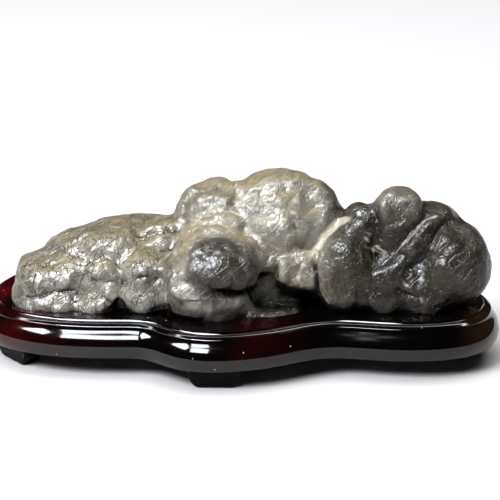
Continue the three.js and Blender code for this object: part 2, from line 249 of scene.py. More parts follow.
# ---- The rock: creases and dents ----
# Where one mass meets the next the stone is creased. Each crease is a depth, a reach to either side, and its
# line, drawn on an upright sheet 20 mm in front of the stone's middle and carried back onto the stone from a
# place in front of it. All in millimetres.
SHEET_Y = -20
DRAWN_FROM = Vector((7.4, -1054, 412))
CREASES = [
    # the nose, its foot and the toe
    (1.2, 2.2, [(-139, 44.5), (-132, 44), (-124, 46), (-117, 48), (-110, 48.5), (-103, 49)]),
    (1.4, 4.0, [(-139, 68), (-127, 75), (-118, 76), (-108, 73.5), (-100, 71), (-95, 69)]),
    (0.5, 2.5, [(-140, 64), (-130, 58), (-120, 54), (-112, 51), (-104, 49)]),
    (0.5, 2.2, [(-127, 58), (-121, 51), (-115, 48)]),
    (0.7, 3.0, [(-107, 74), (-110, 66), (-111, 60), (-108, 55), (-103, 50)]),
    (1.7, 3.2, [(-103, 49), (-107, 44), (-108, 38), (-105, 32)]),
    (1.5, 3.0, [(-104, 49), (-97, 49), (-92, 46), (-86, 42), (-79, 40)]),
    (1.2, 3.2, [(-86, 42), (-85, 37), (-89, 32)]),
    (0.5, 2.4, [(-127, 44), (-124, 38), (-126, 33)]),
    (0.5, 2.4, [(-116, 47), (-114, 41), (-115, 35)]),
    # the eye
    (1.5, 2.2, [(-98, 57), (-93, 55), (-87, 54.5), (-80, 55.5), (-76, 56.5)]),
    (1.5, 3.0, [(-102, 55), (-101, 62), (-96, 69), (-88, 72), (-80, 70), (-76, 64), (-75, 57)]),
    (0.6, 2.0, [(-97, 60), (-94, 65), (-88, 67), (-82, 65), (-79, 60)]),
    (0.7, 2.4, [(-96, 55), (-97, 50)]),
    (0.6, 2.4, [(-95, 54), (-88, 49), (-82, 47), (-77, 48)]),
    # the block beside it
    (1.6, 3.0, [(-75, 58), (-76, 52), (-76, 46), (-78, 40), (-81, 34)]),
    (1.6, 3.6, [(-74, 68), (-68, 75), (-60, 78.5), (-52, 79), (-44, 77), (-39, 73)]),
    (1.5, 2.6, [(-68, 57.5), (-62, 58), (-57, 58.5), (-53, 57), (-50, 60)]),
    (1.8, 3.2, [(-42, 75), (-46, 68), (-49, 60), (-48, 54), (-46, 46), (-46, 36)]),
    (0.7, 2.6, [(-74, 46), (-66, 47.5), (-58, 45), (-50, 47)]),
    (0.6, 2.4, [(-70, 70), (-62, 66), (-56, 70), (-50, 74)]),
    (0.5, 2.2, [(-66, 62), (-60, 68), (-56, 76)]),
    (1.3, 2.2, [(-70, 34), (-68, 40), (-67, 44)]),
    (1.3, 2.2, [(-64, 34), (-65, 40), (-67, 44)]),
    # the ridge
    (3.4, 3.6, [(-68, 85), (-62, 86), (-57, 87), (-50, 88.5), (-42, 89), (-36, 88)]),
    (1.4, 3.0, [(-67, 97), (-64, 91), (-67, 86), (-65, 80), (-68, 75)]),
    (0.6, 2.6, [(-60, 93), (-52, 96), (-44, 94), (-39, 91)]),
    (0.7, 2.4, [(-110, 74), (-100, 80), (-91, 86), (-85, 92), (-80, 97)]),
    (0.5, 2.2, [(-103, 70), (-94, 77), (-86, 84), (-80, 89)]),
    (0.7, 2.4, [(-96, 71), (-88, 79), (-80, 87), (-72, 92), (-65, 96)]),
    (0.6, 2.4, [(-90, 73), (-81, 78), (-72, 80), (-65, 79)]),
    (0.6, 2.6, [(-121, 81), (-112, 84), (-104, 90), (-98, 94)]),
    (0.6, 2.4, [(-84, 72), (-80, 80), (-80, 90), (-75, 96)]),
    (0.5, 2.2, [(-94, 88), (-86, 86), (-78, 84), (-70, 87)]),
    # the boulder in front: its outline, mouth, jaw and pit
    (2.6, 4.5, [(-46, 57), (-42, 66), (-37, 74), (-28, 81), (-15, 84.5),
                (-3, 82), (4, 76), (9, 69), (10, 61), (9, 54)]),
    (4.6, 3.6, [(11, 51), (4, 48.5), (-2, 47.5), (-10, 48.5), (-18, 50)]),
    (1.0, 3.6, [(-14, 49), (-26, 52), (-34, 54), (-43, 57)]),
    (1.4, 2.2, [(-18, 47), (-20, 42), (-21, 36), (-25, 27)]),
    (0.6, 2.2, [(-20, 40), (-14, 39), (-8, 38), (-3, 34)]),
    (0.6, 2.4, [(-44, 50), (-36, 42), (-28, 41), (-21, 42)]),
    (2.2, 3.0, [(10, 50), (7, 42), (2, 36), (-4, 30)]),
    (0.6, 2.0, [(-24, 78), (-23, 71), (-17, 69), (-8, 70), (-3, 71)]),
    # the hill
    (1.5, 5.0, [(-43, 99), (-34, 96), (-26, 93), (-16, 91), (-6, 91), (4, 90)]),
    (1.2, 5.0, [(2, 124), (0, 117), (-2, 111), (-1, 105), (2, 100)]),
    (0.6, 2.6, [(-12, 122), (-8, 115), (-9, 109), (-15, 105)]),
    (0.6, 3.0, [(-34, 112), (-28, 108), (-24, 102), (-25, 95)]),
    (0.7, 3.0, [(-20, 106), (-8, 103), (0, 100), (10, 98), (22, 100), (40, 99)]),
    (0.6, 2.6, [(0, 109), (6, 107), (12, 105), (20, 104)]),
    (0.7, 3.2, [(31, 122), (34, 114), (33, 108), (29, 103)]),
    (0.5, 3.0, [(19, 122), (18, 113), (21, 106), (29, 103), (38, 102)]),
    (0.6, 2.4, [(6, 124), (12, 119), (18, 121), (26, 126)]),
    (0.7, 3.6, [(12, 93), (15, 88), (14, 84), (20, 80), (30, 78.5), (38, 80), (43, 85)]),
    (1.5, 3.0, [(35, 99), (37, 91), (37, 85)]),
    (0.6, 2.0, [(18, 87), (24, 84), (29, 86)]),
    (0.6, 2.4, [(46, 96), (52, 92), (58, 94)]),
    # the slope below it, the neck and the small knob
    (1.2, 3.0, [(8, 76), (20, 73.5), (30, 72), (42, 70)]),
    (2.2, 2.8, [(23, 71), (25, 65), (22, 58), (21, 52)]),
    (0.7, 2.6, [(33, 68), (34, 60), (33, 52)]),
    (1.5, 2.4, [(41, 68), (40, 60), (41, 54), (44, 47), (49, 42)]),
    (2.4, 2.2, [(48, 69), (50, 63), (50, 58), (52, 50), (54, 43)]),
    (1.4, 1.6, [(41, 62), (45, 63.5), (49, 61)]),
    (0.6, 1.6, [(42, 55), (46, 57), (49, 55)]),
    (0.7, 5.0, [(70, 99), (66, 96), (60, 90), (54, 83), (50, 76), (47, 70)]),
    # the cheek, the ear and the horn
    (1.5, 3.0, [(62, 92), (70, 87.5), (76, 84), (84, 80.5), (88, 79)]),
    (3.8, 3.6, [(86, 104), (88, 97), (89, 90), (88, 84), (86, 79)]),
    (1.6, 3.0, [(86, 79), (88, 72), (88, 64), (85, 58), (84, 50), (84, 42), (86, 34)]),
    (0.5, 2.4, [(70, 97), (76, 93), (82, 94), (88, 91)]),
    # the sash and the right mass
    (2.8, 4.0, [(88, 64), (93, 68.5), (98, 71.5), (101, 76), (106, 81),
                (109, 87), (113, 92), (117, 96), (120, 102)]),
    (4.2, 3.8, [(106, 50), (109, 58), (112, 62), (117, 65.5), (121, 71),
                (124, 80), (127, 88), (131, 94), (138, 96)]),
    (1.4, 3.0, [(85, 53), (90, 48.5), (96, 47), (102, 47.5), (106, 50)]),
    (2.2, 3.0, [(106, 50), (110, 46), (114, 43.5), (118, 43), (119, 37), (117, 31)]),
    (1.7, 1.8, [(101, 48), (106, 47), (109, 44.5), (112, 42.5), (118, 43)]),
    (1.2, 3.0, [(120, 103), (126, 97), (131, 99), (136, 99)]),
    (0.6, 3.0, [(128, 84), (134, 86), (142, 84), (150, 80)]),
    (0.5, 2.4, [(118, 58), (124, 54), (130, 50)]),
]
CREASE_STEP = 1.0
CREASE_FADE = 0.16
CREASE_WANDER = 0.9
WANDER_SIZE = 7
WANDER_SLICE = 3.1
# Softer work of the same kind: hollows, worn in, and folds, standing proud, each with its height outwards.
FOLDS = [
    (4.6, 9, [(92, 102), (95, 108), (99, 112)]),
    (6.5, 9, [(-42, 47), (-32, 45), (-18, 43), (-6, 44), (4, 45)]),
    (3.0, 7, [(-47, 62), (-44, 70), (-38, 78)]),
    (4.0, 7, [(85, 60), (85, 50), (85, 40)]),
    (2.5, 6, [(-22, 88), (-10, 90), (0, 90)]),
    (-4.5, 8, [(40, 116), (46, 110), (51, 104)]),
    (-5.0, 9, [(-22, 120), (-12, 121)]),
    (4.0, 6, [(-6, 118), (0, 118)]),
    (-4.5, 9, [(130, 98), (136, 95), (142, 89), (146, 82)]),
    (3.6, 8, [(107, 111), (111, 107), (113, 101)]),
    (-3.6, 6, [(105, 110), (105, 119.5)]),
    (-3.0, 6, [(10, 76), (14, 68), (15, 60), (13, 54)]),
    (-2.5, 5, [(70, 101), (80, 100)]),
    (1.8, 4, [(41, 118), (41, 110), (39, 103)]),
    (1.2, 3.5, [(31, 96), (31, 91), (30, 87)]),
    (1.6, 4, [(27, 69), (28, 62), (29, 54)]),
    (1.4, 3, [(-42, 51), (-34, 48), (-25, 46)]),
    (1.5, 3, [(86, 58), (92, 62), (99, 67), (105, 72), (111, 80), (117, 88), (124, 95), (132, 99)]),
    (1.5, 3.5, [(108, 56), (114, 61), (120, 67), (126, 74), (131, 82), (134, 90)]),
    (1.2, 4, [(94, 108), (94, 98), (95, 88)]),
    (1.2, 4, [(58, 86), (55, 76), (54, 66)]),
]


def run_lengths(line):
    """How far along a line of points each one lies."""
    return np.concatenate([[0], np.cumsum(np.linalg.norm(np.diff(line, axis=0), axis=1))])


def along(line):
    """Points along a drawn line at even steps, each with how far along it lies, from 0 to 1."""
    line = np.array(line, float)
    reached = run_lengths(line)
    places = np.linspace(0, reached[-1], max(int(reached[-1] / CREASE_STEP), 3))
    smooth = np.column_stack([np.interp(places, reached, line[:, n]) for n in (0, 1)])
    for _ in range(2):
        smooth[1:-1] = (smooth[:-2] + 2 * smooth[1:-1] + smooth[2:]) / 4
    return smooth, places / reached[-1]


def carried_back(tree, drawn, wandering):
    """Where a drawn line lands on the stone, in millimetres."""
    landed = []
    for x, z in drawn:
        wander = noise.noise_vector((x / WANDER_SIZE, WANDER_SLICE, z / WANDER_SIZE)) * wandering
        way = Vector((x + wander.x, SHEET_Y, z + wander.z)) - DRAWN_FROM
        hit = tree.ray_cast(DRAWN_FROM * MM, way.normalized())[0]
        landed.append(hit / MM if hit else None)
    return landed


def away_from(points, tree, reach, line, wandering=CREASE_WANDER, spread=4):
    """The points near a drawn line, how far each is from the line's own points, and how strong those are."""
    drawn, share = along(line)
    found = [(hit, t) for hit, t in zip(carried_back(tree, drawn, wandering), share) if hit]
    on_line = np.array([hit for hit, _ in found])
    fade = np.array([min(t / CREASE_FADE, (1 - t) / CREASE_FADE, 1) for _, t in found]) ** 0.5
    low, high = on_line.min(0) - spread * reach, on_line.max(0) + spread * reach
    near = np.flatnonzero(np.all((points > low) & (points < high), axis=1))
    off = np.linalg.norm(points[near, None] - on_line[None], axis=2)
    return near, off, fade


# The noise below starts from the clock unless it is given a number of its own.
NOISE_DRAW = 8
noise.seed_set(NOISE_DRAW)
points = read_points(rock.data) / MM
normals = read_normals(rock.data)
points += normals * ROCK_FILL_OUT
rock_tree = BVHTree.FromObject(rock, bpy.context.evaluated_depsgraph_get())
moved = np.zeros(len(points))
for height, reach, line in FOLDS:
    near, off, fade = away_from(points, rock_tree, reach, line, 0, 3)
    moved[near] += height * (fade * np.exp(-(off / reach) ** 2)).max(1)
creased = np.zeros(len(points))
for depth, reach, line in CREASES:
    near, off, fade = away_from(points, rock_tree, reach, line)
    creased[near] = np.maximum(creased[near], (depth * fade * np.exp(-off / reach)).max(1))
points += normals * (moved - creased)[:, None]

# ---- The rock: wrinkles ----
# The left mass is crumpled like foil, in facets that run up to the right. The hill is broken more coarsely,
# and the right masses are smoother, in broad planes.
CELL_KINDS = 4096
CELL_MIX = np.array([73856093, 19349663, 83492791])
CELL_SCATTER = 0.42
PILLOW_TIP = 0.7
PILLOW_ROUNDING = 0.08
PILLOW_RISE = 0.15
FACET_RISE = 0.2


def cells_near(places, seed):
    """For each of the 27 unit cells round each place: the way from its middle, its tip and its height."""
    kinds = np.random.default_rng(seed).uniform(-1, 1, (CELL_KINDS, 7))
    home = np.floor(places).astype(np.int64)
    for step in product((-1, 0, 1), repeat=3):
        cell = home + step
        kind = kinds[(cell * CELL_MIX).sum(1) % CELL_KINDS]
        yield places - cell - 0.5 - CELL_SCATTER * kind[:, :3], kind[:, 3:6], kind[:, 6]


def crumple(places, seed):
    """Pillows with sharp valleys between them, one to each unit cell."""
    height = np.full(len(places), -np.inf)
    for off, tip, own in cells_near(places, seed):
        dome = np.sqrt((off ** 2).sum(1) + PILLOW_ROUNDING)
        pillow = PILLOW_TIP * (off * tip).sum(1) - dome + PILLOW_RISE * own
        height = np.maximum(height, pillow)
    return height - height.mean()


def facets(places, seed):
    """Flat facets, each tipped its own way, one to each unit cell."""
    height = np.zeros(len(places))
    nearest = np.full(len(places), np.inf)
    for off, tip, own in cells_near(places, seed):
        away = (off ** 2).sum(1)
        closer = away < nearest
        nearest[closer] = away[closer]
        height[closer] = ((off * tip).sum(1) + FACET_RISE * own)[closer]
    return height


def spread_out(values, edges, rounds):
    """Each value shared evenly with its neighbours along the edges, over and over."""
    ends = np.concatenate([edges, edges[:, ::-1]])
    number = np.bincount(ends[:, 0], minlength=len(values))[:, None]
    for _ in range(rounds):
        shared = [np.bincount(ends[:, 0], values[ends[:, 1], n], len(values)) for n in range(values.shape[1])]
        values = (values + np.column_stack(shared) / number) / 2
    return values


def bent(points, size, amount):
    """The points pushed about by soft noise, so that what is drawn over them wanders."""
    pushed = [noise.noise_vector(Vector(point) / size) for point in points]
    return points + amount * np.array(pushed)


def steps(value, low, high):
    share = np.clip((value - low) / (high - low), 0, 1)
    return share * share * (3 - 2 * share)


def turned(points, degrees, stretch):
    """The points turned in the upright plane, their first axis stretched, for patterns that run one way."""
    angle = radians(degrees)
    along_fold = points[:, 0] * cos(angle) + points[:, 2] * sin(angle)
    across = points[:, 2] * cos(angle) - points[:, 0] * sin(angle)
    return np.column_stack([along_fold / stretch, points[:, 1], across])


skin_edges = np.empty(len(rock.data.edges) * 2, dtype=np.int64)
rock.data.edges.foreach_get("vertices", skin_edges)
skin_edges = skin_edges.reshape(-1, 2)

# Where each mass lies, from 0 to 1 at every point. The flange is the low tongue of stone under the neck.
BOULDER_MIDDLE = np.array([-12, -36, 68])
across, up = points[:, 0], points[:, 2]
left = 1 - steps(across, -52, -34)
right = steps(across, 50, 64)
middle = 1 - left - right
from_boulder = np.linalg.norm(points - BOULDER_MIDDLE, axis=1)
on_flange = (1 - steps(up, 37, 42)) * steps(across, -6, 0) * (1 - steps(across, 46, 52))
on_horn = steps(up, 88, 102) * steps(across, 84, 94) * (1 - steps(across, 112, 122))
# The darker masses: the boulder is darker stone. The right masses and the flange are painted darker partly as
# shade, the right turned from the light and the flange low against the stand. The horn is left paler as a
# painted highlight for the light it catches.
darker = np.maximum.reduce([right * (1 - 0.4 * on_horn), 1 - steps(from_boulder, 17, 29), on_flange])
wavy = bent(bent(points, 24, 4), 7, 1.0)
# Each kind of facet: its size, its height on the left, the middle and the right, how far it runs along the
# fold and at what angle, and how often its edges are softened.
FACETS = [
    (27, (0.08, 0.12, 0.11), 1.3, 20, 10),
    (12, (0.08, 0.12, 0.06), 1.5, 35, 4),
    (6, (0.09, 0.05, 0.02), 1.9, 45, 2),
]
wrinkles = np.zeros(len(points))
for seed, (size, heights, stretch, angle, softened) in enumerate(FACETS):
    height = facets(turned(wavy, angle, stretch) / size, seed + 3) * size
    height = spread_out(height[:, None], skin_edges, softened)[:, 0]
    wrinkles += height * (heights[0] * left + heights[1] * middle + heights[2] * right)
# Each kind of pillow: how strong it is at every point, its size, the angle of its long side, how far it runs
# that way, and its draw.
PILLOWS = [
    (0.06 * left + 0.04 * middle + 0.02 * right, 8.5, 38, 2.2, 5),
    (0.06 * left + 0.02 * middle + 0.01 * right, 4.2, 46, 3.0, 8),
    (0.30 * on_flange, 6, 20, 1.6, 9),
]
for strength, size, angle, stretch, seed in PILLOWS:
    wrinkles += strength * crumple(turned(wavy, angle, stretch) / size, seed) * size
points += normals * wrinkles[:, None]

# ---- The rock: cracks and its flat base ----
# Cracks run between the masses, from hair-thin to two millimetres across, and the boulder's mouth is the
# deepest. Each is a depth, a reach to either side and its line, as for the creases. The base is sawn flat.
CRACKS = [
    (1.8, 0.7, [(-139, 45), (-132, 44), (-128, 44.8), (-122, 46.5), (-117, 48), (-110, 48.5), (-104, 49)]),
    (2.6, 0.8, [(-96, 55.8), (-92, 54.5), (-86, 54), (-81, 55.2)]),
    (1.4, 0.8, [(-96, 49), (-90, 45.5), (-82, 40)]),
    (2.2, 0.8, [(-67, 85.5), (-62, 86), (-57, 87), (-50, 89), (-42, 89.5)]),
    (1.8, 0.8, [(-67, 57), (-62, 57.5), (-58, 58.5)]),
    (7.5, 1.8, [(9, 50.5), (5, 49), (0, 48.3), (-5, 48.3), (-10, 49), (-18, 50)]),
    (1.8, 0.8, [(-18, 47), (-20, 42), (-21, 35), (-25, 28)]),
    (1.2, 0.8, [(-20, 40), (-14, 39), (-8, 38), (-2, 35)]),
    (1.6, 0.7, [(-15, 73.5), (-10, 74.4), (-4, 73)]),
    (1.8, 0.8, [(-20, 77), (-18.5, 75), (-20.5, 72.5)]),
    (1.2, 0.7, [(-22, 76), (-18.5, 75), (-16, 77)]),
    (1.8, 0.9, [(25, 66), (24, 62), (25.5, 57)]),
    (2.2, 0.9, [(49, 67), (50.5, 60), (51, 54), (53, 44)]),
    (2.6, 0.9, [(88, 101), (89.5, 95), (89, 88), (87.5, 83)]),
    (2.4, 0.9, [(101, 49), (106, 48.5), (109, 46), (113, 45), (118, 45.5)]),
    (1.4, 0.8, [(85, 52), (85, 44), (86, 36)]),
]
cracked = np.zeros(len(points))
for depth, reach, line in CRACKS:
    near, off, fade = away_from(points, rock_tree, reach, line, 0.5, 5)
    cracked[near] = np.maximum(cracked[near], (depth * fade * np.exp(-(off / reach) ** 1.5)).max(1))
points -= normals * cracked[:, None]
write_points(rock.data, points * MM)

# Veins of cream calcite, each a strength, a reach to either side and its line.
VEINS = [
    (1.0, 3.0, [(71, 100), (64, 94), (58, 88), (52, 80), (46, 73), (43, 69)]),
    (0.8, 1.4, [(44, 71), (40, 63), (38, 57), (42, 50)]),
    (0.8, 1.0, [(64, 93), (75, 87.5), (84, 82.5), (98, 72)]),
    (0.5, 0.9, [(66, 90.5), (76, 82.5), (86, 76.5), (100, 71.5), (113, 66)]),
    (0.5, 0.9, [(64, 96), (76, 90.5), (88, 84.5), (100, 79)]),
    (0.4, 0.9, [(68, 87), (78, 80.5), (90, 74.5)]),
    (0.6, 0.9, [(86, 82), (87, 73), (86, 64)]),
    (0.7, 1.2, [(88, 64), (93, 68), (98, 72), (104, 78), (110, 84), (117, 93), (124, 98), (134, 103)]),
    (0.5, 0.8, [(117, 102), (117.5, 95), (116, 88)]),
    (0.7, 1.2, [(106, 56), (108, 52.5), (112, 50.5), (118, 49.5), (119, 39)]),
    (0.5, 0.8, [(118, 62), (122, 58), (127, 54)]),
    (0.5, 0.9, [(108, 60), (114, 63), (119, 67), (125, 75), (130, 84), (132, 94)]),
    (0.6, 1.1, [(-22, 107), (-8, 103), (0, 100), (14, 97), (26, 98), (38, 95)]),
    (0.5, 0.9, [(-4, 111), (8, 107), (20, 104), (32, 104)]),
    (0.6, 1.0, [(-34, 98), (-24, 95), (-15, 91.5), (0, 92), (10, 87), (20, 80), (30, 75), (40, 71)]),
    (0.5, 0.9, [(-16, 108), (-15, 100), (-17, 90)]),
    (0.5, 0.9, [(14, 75), (24, 74), (34, 72), (43, 70)]),
    (0.6, 1.1, [(0, 84), (8, 80), (14, 74), (20, 68)]),
    (0.5, 1.0, [(-77, 60), (-76, 50), (-77, 42), (-80, 36)]),
    (0.5, 1.0, [(-48, 60), (-47, 50), (-48, 40)]),
    (0.4, 0.9, [(-138, 70), (-126, 77), (-114, 77), (-104, 73), (-98, 70)]),
]
veined = np.zeros(len(points))
for strength, reach, line in VEINS:
    near, off, fade = away_from(points, rock_tree, reach, line, 1.2)
    veined[near] = np.maximum(veined[near], (strength * fade * np.exp(-(off / reach) ** 2)).max(1))

skin_mesh = rock.data
skin_normals = read_normals(skin_mesh)
eased = spread_out(points, skin_edges, 6)
eased_more = spread_out(eased, skin_edges, 60)

SHELTER_WAYS = 10
SHELTER_SPREAD = 0.95
SHELTER_REACH = 32
SHELTER_START = 0.3
SHELTER_FLOOR = 33.5


def sheltered(mesh, points, normals):
    """How much of what each point faces is closed off nearby, by the stone itself or by the stand below."""
    tree = BVHTree.FromPolygons(points.tolist(), [tuple(face.vertices) for face in mesh.polygons])
    ways = np.random.default_rng(12).normal(size=(SHELTER_WAYS, 3))
    ways /= np.linalg.norm(ways, axis=1)[:, None]
    closed = np.zeros(len(points))
    for number, (point, normal) in enumerate(zip(points, normals)):
        start = Vector(point + normal * SHELTER_START)
        for way in normal + SHELTER_SPREAD * ways:
            at_stand = way[2] * SHELTER_REACH < SHELTER_FLOOR - point[2]
            if at_stand or tree.ray_cast(start, Vector(way), SHELTER_REACH)[0]:
                closed[number] += 1
    return closed / SHELTER_WAYS


# What the skin is like at each point, for its colours: how hollow it is close to and from further off, how
# sheltered, how far it faces up, and where its cracks, its veins and its darker masses are. The hollows, the
# shelter, the downward faces and the cracks carry painted shade.
shelter = sheltered(skin_mesh, points, skin_normals)
shelter = spread_out(shelter[:, None], skin_edges, 6)[:, 0]
skin_values = {
    "hollow_fine": ((eased - points) * skin_normals).sum(1),
    "hollow_broad": ((eased_more - points) * skin_normals).sum(1),
    "sheltered": shelter,
    "crack": np.clip(cracked, 0, 1),
    "vein": veined,
    "upward": skin_normals[:, 2],
    "left": left,
    "darker": darker,
}
for name, values in skin_values.items():
    skin_mesh.attributes.new(name, "FLOAT", "POINT").data.foreach_set("value", values)

ROCK_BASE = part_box("rock")[0][2]
rock_shape = bmesh.new()
rock_shape.from_mesh(rock.data)
sawn = bmesh.ops.bisect_plane(
    rock_shape, geom=rock_shape.verts[:] + rock_shape.edges[:] + rock_shape.faces[:],
    plane_co=(0, 0, ROCK_BASE), plane_no=(0, 0, -1), clear_outer=True)
rims = [edge for edge in sawn["geom_cut"] if isinstance(edge, bmesh.types.BMEdge)]
bmesh.ops.holes_fill(rock_shape, edges=rims, sides=0)
for face in rock_shape.faces:
    face.smooth = True
rock_shape.to_mesh(rock.data)
rock_shape.free()

# ---- The rock: its finish ----
# A brown-grey ground with olive and golden tops, pale hair lines and cream veins, and dark brown masses, with
# shade painted into the hollows, cracks, sheltered places and undersides. The boulder's darkness is its own;
# the right masses and the flange are darker partly as painted shade. It has been rubbed with wax to a satin
# gloss, which is brighter on the paler masses.
# Colours of painted shade: for hollows and undersides, and the deepest for sheltered places and cracks.
PAINTED_SHADE = (0.012, 0.010, 0.008, 1)
DEEPEST_PAINTED_SHADE = (0.004, 0.003, 0.003, 1)
HAIR_RUN = 10
HAIR_BEND = 0.35
FOIL_DEPTH = 0.0022
stone = Paint("waxed_stone")
place = stone.place()
crumpled = stone.attribute("left")
darker_mass = stone.attribute("darker")
upward = stone.attribute("upward")
hollow_fine = stone.attribute("hollow_fine")
clouds = stone.noise(place, 26, 4, 0.55, 0.3)
patches = stone.noise(place, 9, 3, 0.5, 0.5)
grain = stone.noise(place, 420, 4, 0.65)


def pushed(spot, scale, push):
    """A place, pushed about by noise, so that what is drawn on it bends."""
    shake = stone.node("ShaderNodeTexNoise", {}, {"Vector": place, "Scale": scale, "Detail": 1.0}, output=1)
    return stone.vector("MULTIPLY_ADD", shake, (push,) * 3, spot)


def running(size, turn, run, seed):
    """Places measured in cells of the given size, longer by run along a way that rises to the right."""
    return stone.place((1 / size / run, 1 / size, 1 / size), (0, radians(-turn), seed))


def hair_lines(turn, spacing, width, seed):
    """Thin, nearly straight lines that rise to the right by the given angle, broken here and there."""
    bent_run = pushed(running(spacing, turn, HAIR_RUN, seed), 30.0, HAIR_BEND)
    net = stone.cells(bent_run, 1.0, "DISTANCE_TO_EDGE")
    gaps = stone.noise(stone.place((1, 1, 1), (0, 0, seed)), 55, 3, 0.5)
    return stone.spread(net, width, 0.0) * stone.spread(gaps, 0.42, 0.58)


def tipped_cells(size, turn, run, seed):
    """The height of small flat facets, each tipped its own way."""
    spot = pushed(running(size, turn, run, seed), 90.0, 0.9)
    tip = stone.cells(spot, 1.0, output=1)
    middle_of = stone.cells(spot, 1.0, output=3)
    off = stone.vector("SUBTRACT", spot, middle_of)
    lean = stone.vector("SUBTRACT", tip, (0.5, 0.5, 0.5))
    return stone.vector("DOT_PRODUCT", off, lean, output=1)


def folds(size, turn, run, width, seed):
    """Long thin fold lines, as on crumpled foil, that rise to the right by the given angle."""
    wave = stone.noise(running(size, turn, run, seed), 1.0, 2.0, 0.5) - 0.5
    return stone.spread(stone.node("ShaderNodeMath", {"operation": "ABSOLUTE"}, {0: wave}), width, 0.0)


def streaky(number, push, detail, roughness):
    """Streaks that fall gently to the right, so many to the metre along them, into the stone and across."""
    return stone.noise(pushed(stone.place(number, (0, radians(14), 0)), 16.0, push), 1, detail, roughness)


# The ground, and the lines and streaks over it.
all_lines = hair_lines(38, 0.0065, 0.055, 0.3)
all_lines += 0.8 * hair_lines(-42, 0.0080, 0.050, 1.7)
all_lines += 0.7 * hair_lines(75, 0.0095, 0.045, 2.9)
streaks = streaky((60, 200, 620), 5.0, 5, 0.62)
streaks_fine = streaky((120, 400, 1500), 12.0, 3, 0.6)
ground = stone.mix(stone.spread(clouds, 0.32, 0.68), (0.115, 0.099, 0.076, 1), (0.370, 0.350, 0.308, 1))
olive = stone.mix(0.6 * stone.spread(patches, 0.38, 0.62), ground, (0.175, 0.144, 0.094, 1))
tops = stone.spread(upward, 0.40, 0.85) * stone.spread(clouds, 0.30, 0.55) * (1 - 0.8 * darker_mass)
golden = stone.mix(0.8 * tops, olive, (0.235, 0.184, 0.082, 1))
brown = stone.mix(stone.spread(clouds, 0.3, 0.7), (0.006, 0.004, 0.002, 1), (0.030, 0.021, 0.012, 1))
browner = stone.mix(0.94 * darker_mass, golden, brown)
streak_strength = (0.34 - 0.20 * darker_mass) * stone.spread(streaks, 0.50, 0.66)
streaked = stone.mix(streak_strength, browner, (0.130, 0.112, 0.082, 1))
score_strength = (0.30 + 0.35 * darker_mass) * stone.spread(streaks_fine, 0.50, 0.34)
scored = stone.mix(score_strength, streaked, (0.016, 0.013, 0.010, 1))
lined = stone.mix(all_lines * (0.30 - 0.25 * darker_mass), scored, (0.520, 0.490, 0.410, 1))

# The foil-like folds and facets, and how hollows, convex ridges, veins and cracks change the colour. Shade is
# painted into the hollows, the fold valleys, sheltered places, undersides and cracks, and convex ridges are
# paler.
tips = 1.2 * tipped_cells(0.0066, 42, 2.2, 0.4) + 1.7 * tipped_cells(0.0100, -28, 1.7, 1.1)
broad_tips = tipped_cells(0.0130, 20, 1.5, 2.0)
crossed = folds(0.0075, 48, 5, 0.016, 0.2) + folds(0.0085, -35, 5, 0.014, 1.3)
crossed += folds(0.0100, 80, 4, 0.014, 2.4)
valleys = crossed * (0.25 + 0.75 * crumpled)
# Painted shade: the hollows, near and broad, and the fold valleys are painted darker.
depth = 0.40 * valleys + 0.8 * stone.spread(hollow_fine, 0.05, 0.45)
depth += 0.5 * stone.spread(stone.attribute("hollow_broad"), 0.3, 2.4)
painted_hollow_shade = stone.mix(stone.spread(depth, 0.0, 1.3), lined, PAINTED_SHADE)
# Convex ridges are painted paler, less so on the darker masses.
ridge_paling = (0.45 - 0.38 * darker_mass) * stone.spread(hollow_fine, -0.06, -0.30)
paled_ridges = stone.mix(ridge_paling, painted_hollow_shade, (0.340, 0.325, 0.290, 1))
vein_strength = 0.9 * stone.spread(stone.attribute("vein") * (0.4 + 1.2 * clouds), 0.12, 0.62)
veined_colour = stone.mix(vein_strength, paled_ridges, (0.500, 0.455, 0.355, 1))
# Painted shade: places closed off by the stone or by the stand below are painted near-black.
painted_shelter_shade = stone.mix(stone.spread(stone.attribute("sheltered"), 0.50, 0.76), veined_colour, DEEPEST_PAINTED_SHADE)
# Painted shade: faces that turn downwards are painted darker.
painted_underside_shade = stone.mix(0.7 * stone.spread(upward, -0.1, -0.8), painted_shelter_shade, PAINTED_SHADE)
# Painted shade: the cracks, and the boulder's mouth most of all, are painted near-black inside.
coloured = stone.mix(0.9 * stone.attribute("crack"), painted_underside_shade, DEEPEST_PAINTED_SHADE)
chipped = tips * (0.10 + 0.90 * crumpled) + 1.3 * broad_tips
relief = 0.85 * chipped - 0.30 * valleys + 0.02 * grain
relief += 0.12 * streaks + 0.05 * streaks_fine + 0.07 * all_lines
worked = stone.bump(relief, FOIL_DEPTH)
silvery = stone.shader(Base_Color=coloured, Roughness=0.32, IOR=1.42, Normal=worked)
dull = stone.shader(Base_Color=coloured, Roughness=0.24, IOR=1.33, Normal=worked)
in_shelter = stone.spread(stone.attribute("sheltered"), 0.35, 0.65)
dull_share = 1 - (1 - darker_mass) * (1 - in_shelter)
stone.surface(stone.node("ShaderNodeMixShader", {}, {0: dull_share, 1: silvery, 2: dull}))
rock.data.materials.clear()
rock.data.materials.append(stone.material)
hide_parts("rock")
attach(rock, "root")

# ---- The stand's plate ----
# One board of hardwood cut to a cloud-like outline, with a moulding worked round its edge and a recess cut to
# the stone's foot, and lacquered a very dark red. It is made from its widest outline, inset ring by ring.
PLATE_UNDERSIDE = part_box("stand_plate")[0][2] / MM
OUTLINE_POINTS = 288
OUTLINE_STEP = 4.5
WIDEST = (8.4, 6.2)
INNER_CORNER = 20.2
